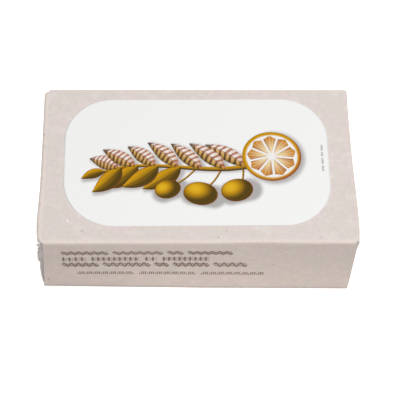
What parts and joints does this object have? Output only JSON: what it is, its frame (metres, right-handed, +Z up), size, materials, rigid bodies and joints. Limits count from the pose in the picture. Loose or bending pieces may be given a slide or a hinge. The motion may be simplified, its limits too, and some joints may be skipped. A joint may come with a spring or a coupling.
{
  "type": "closed paperboard carton of tinned sardines",
  "caption": "Closed flat folding carton that holds a tin of small sardines, with glued end flaps and a rounded white paper label on its top panel.",
  "frame": {"origin": "middle of the bottom panel, which the carton rests on", "axes": "+X along the carton to its right end, +Y from the front panel to the back panel, +Z up through the label"},
  "size_m": [0.1107, 0.0649, 0.0333],
  "materials": {
    "carton_board": "uncoated recycled board, pinkish grey with fine flecks",
    "label_paper": "smooth white paper with a soft print"
  },
  "bodies": {
    "root": {"carton": "carton_board", "label": "label_paper"}
  },
  "joints": []
}
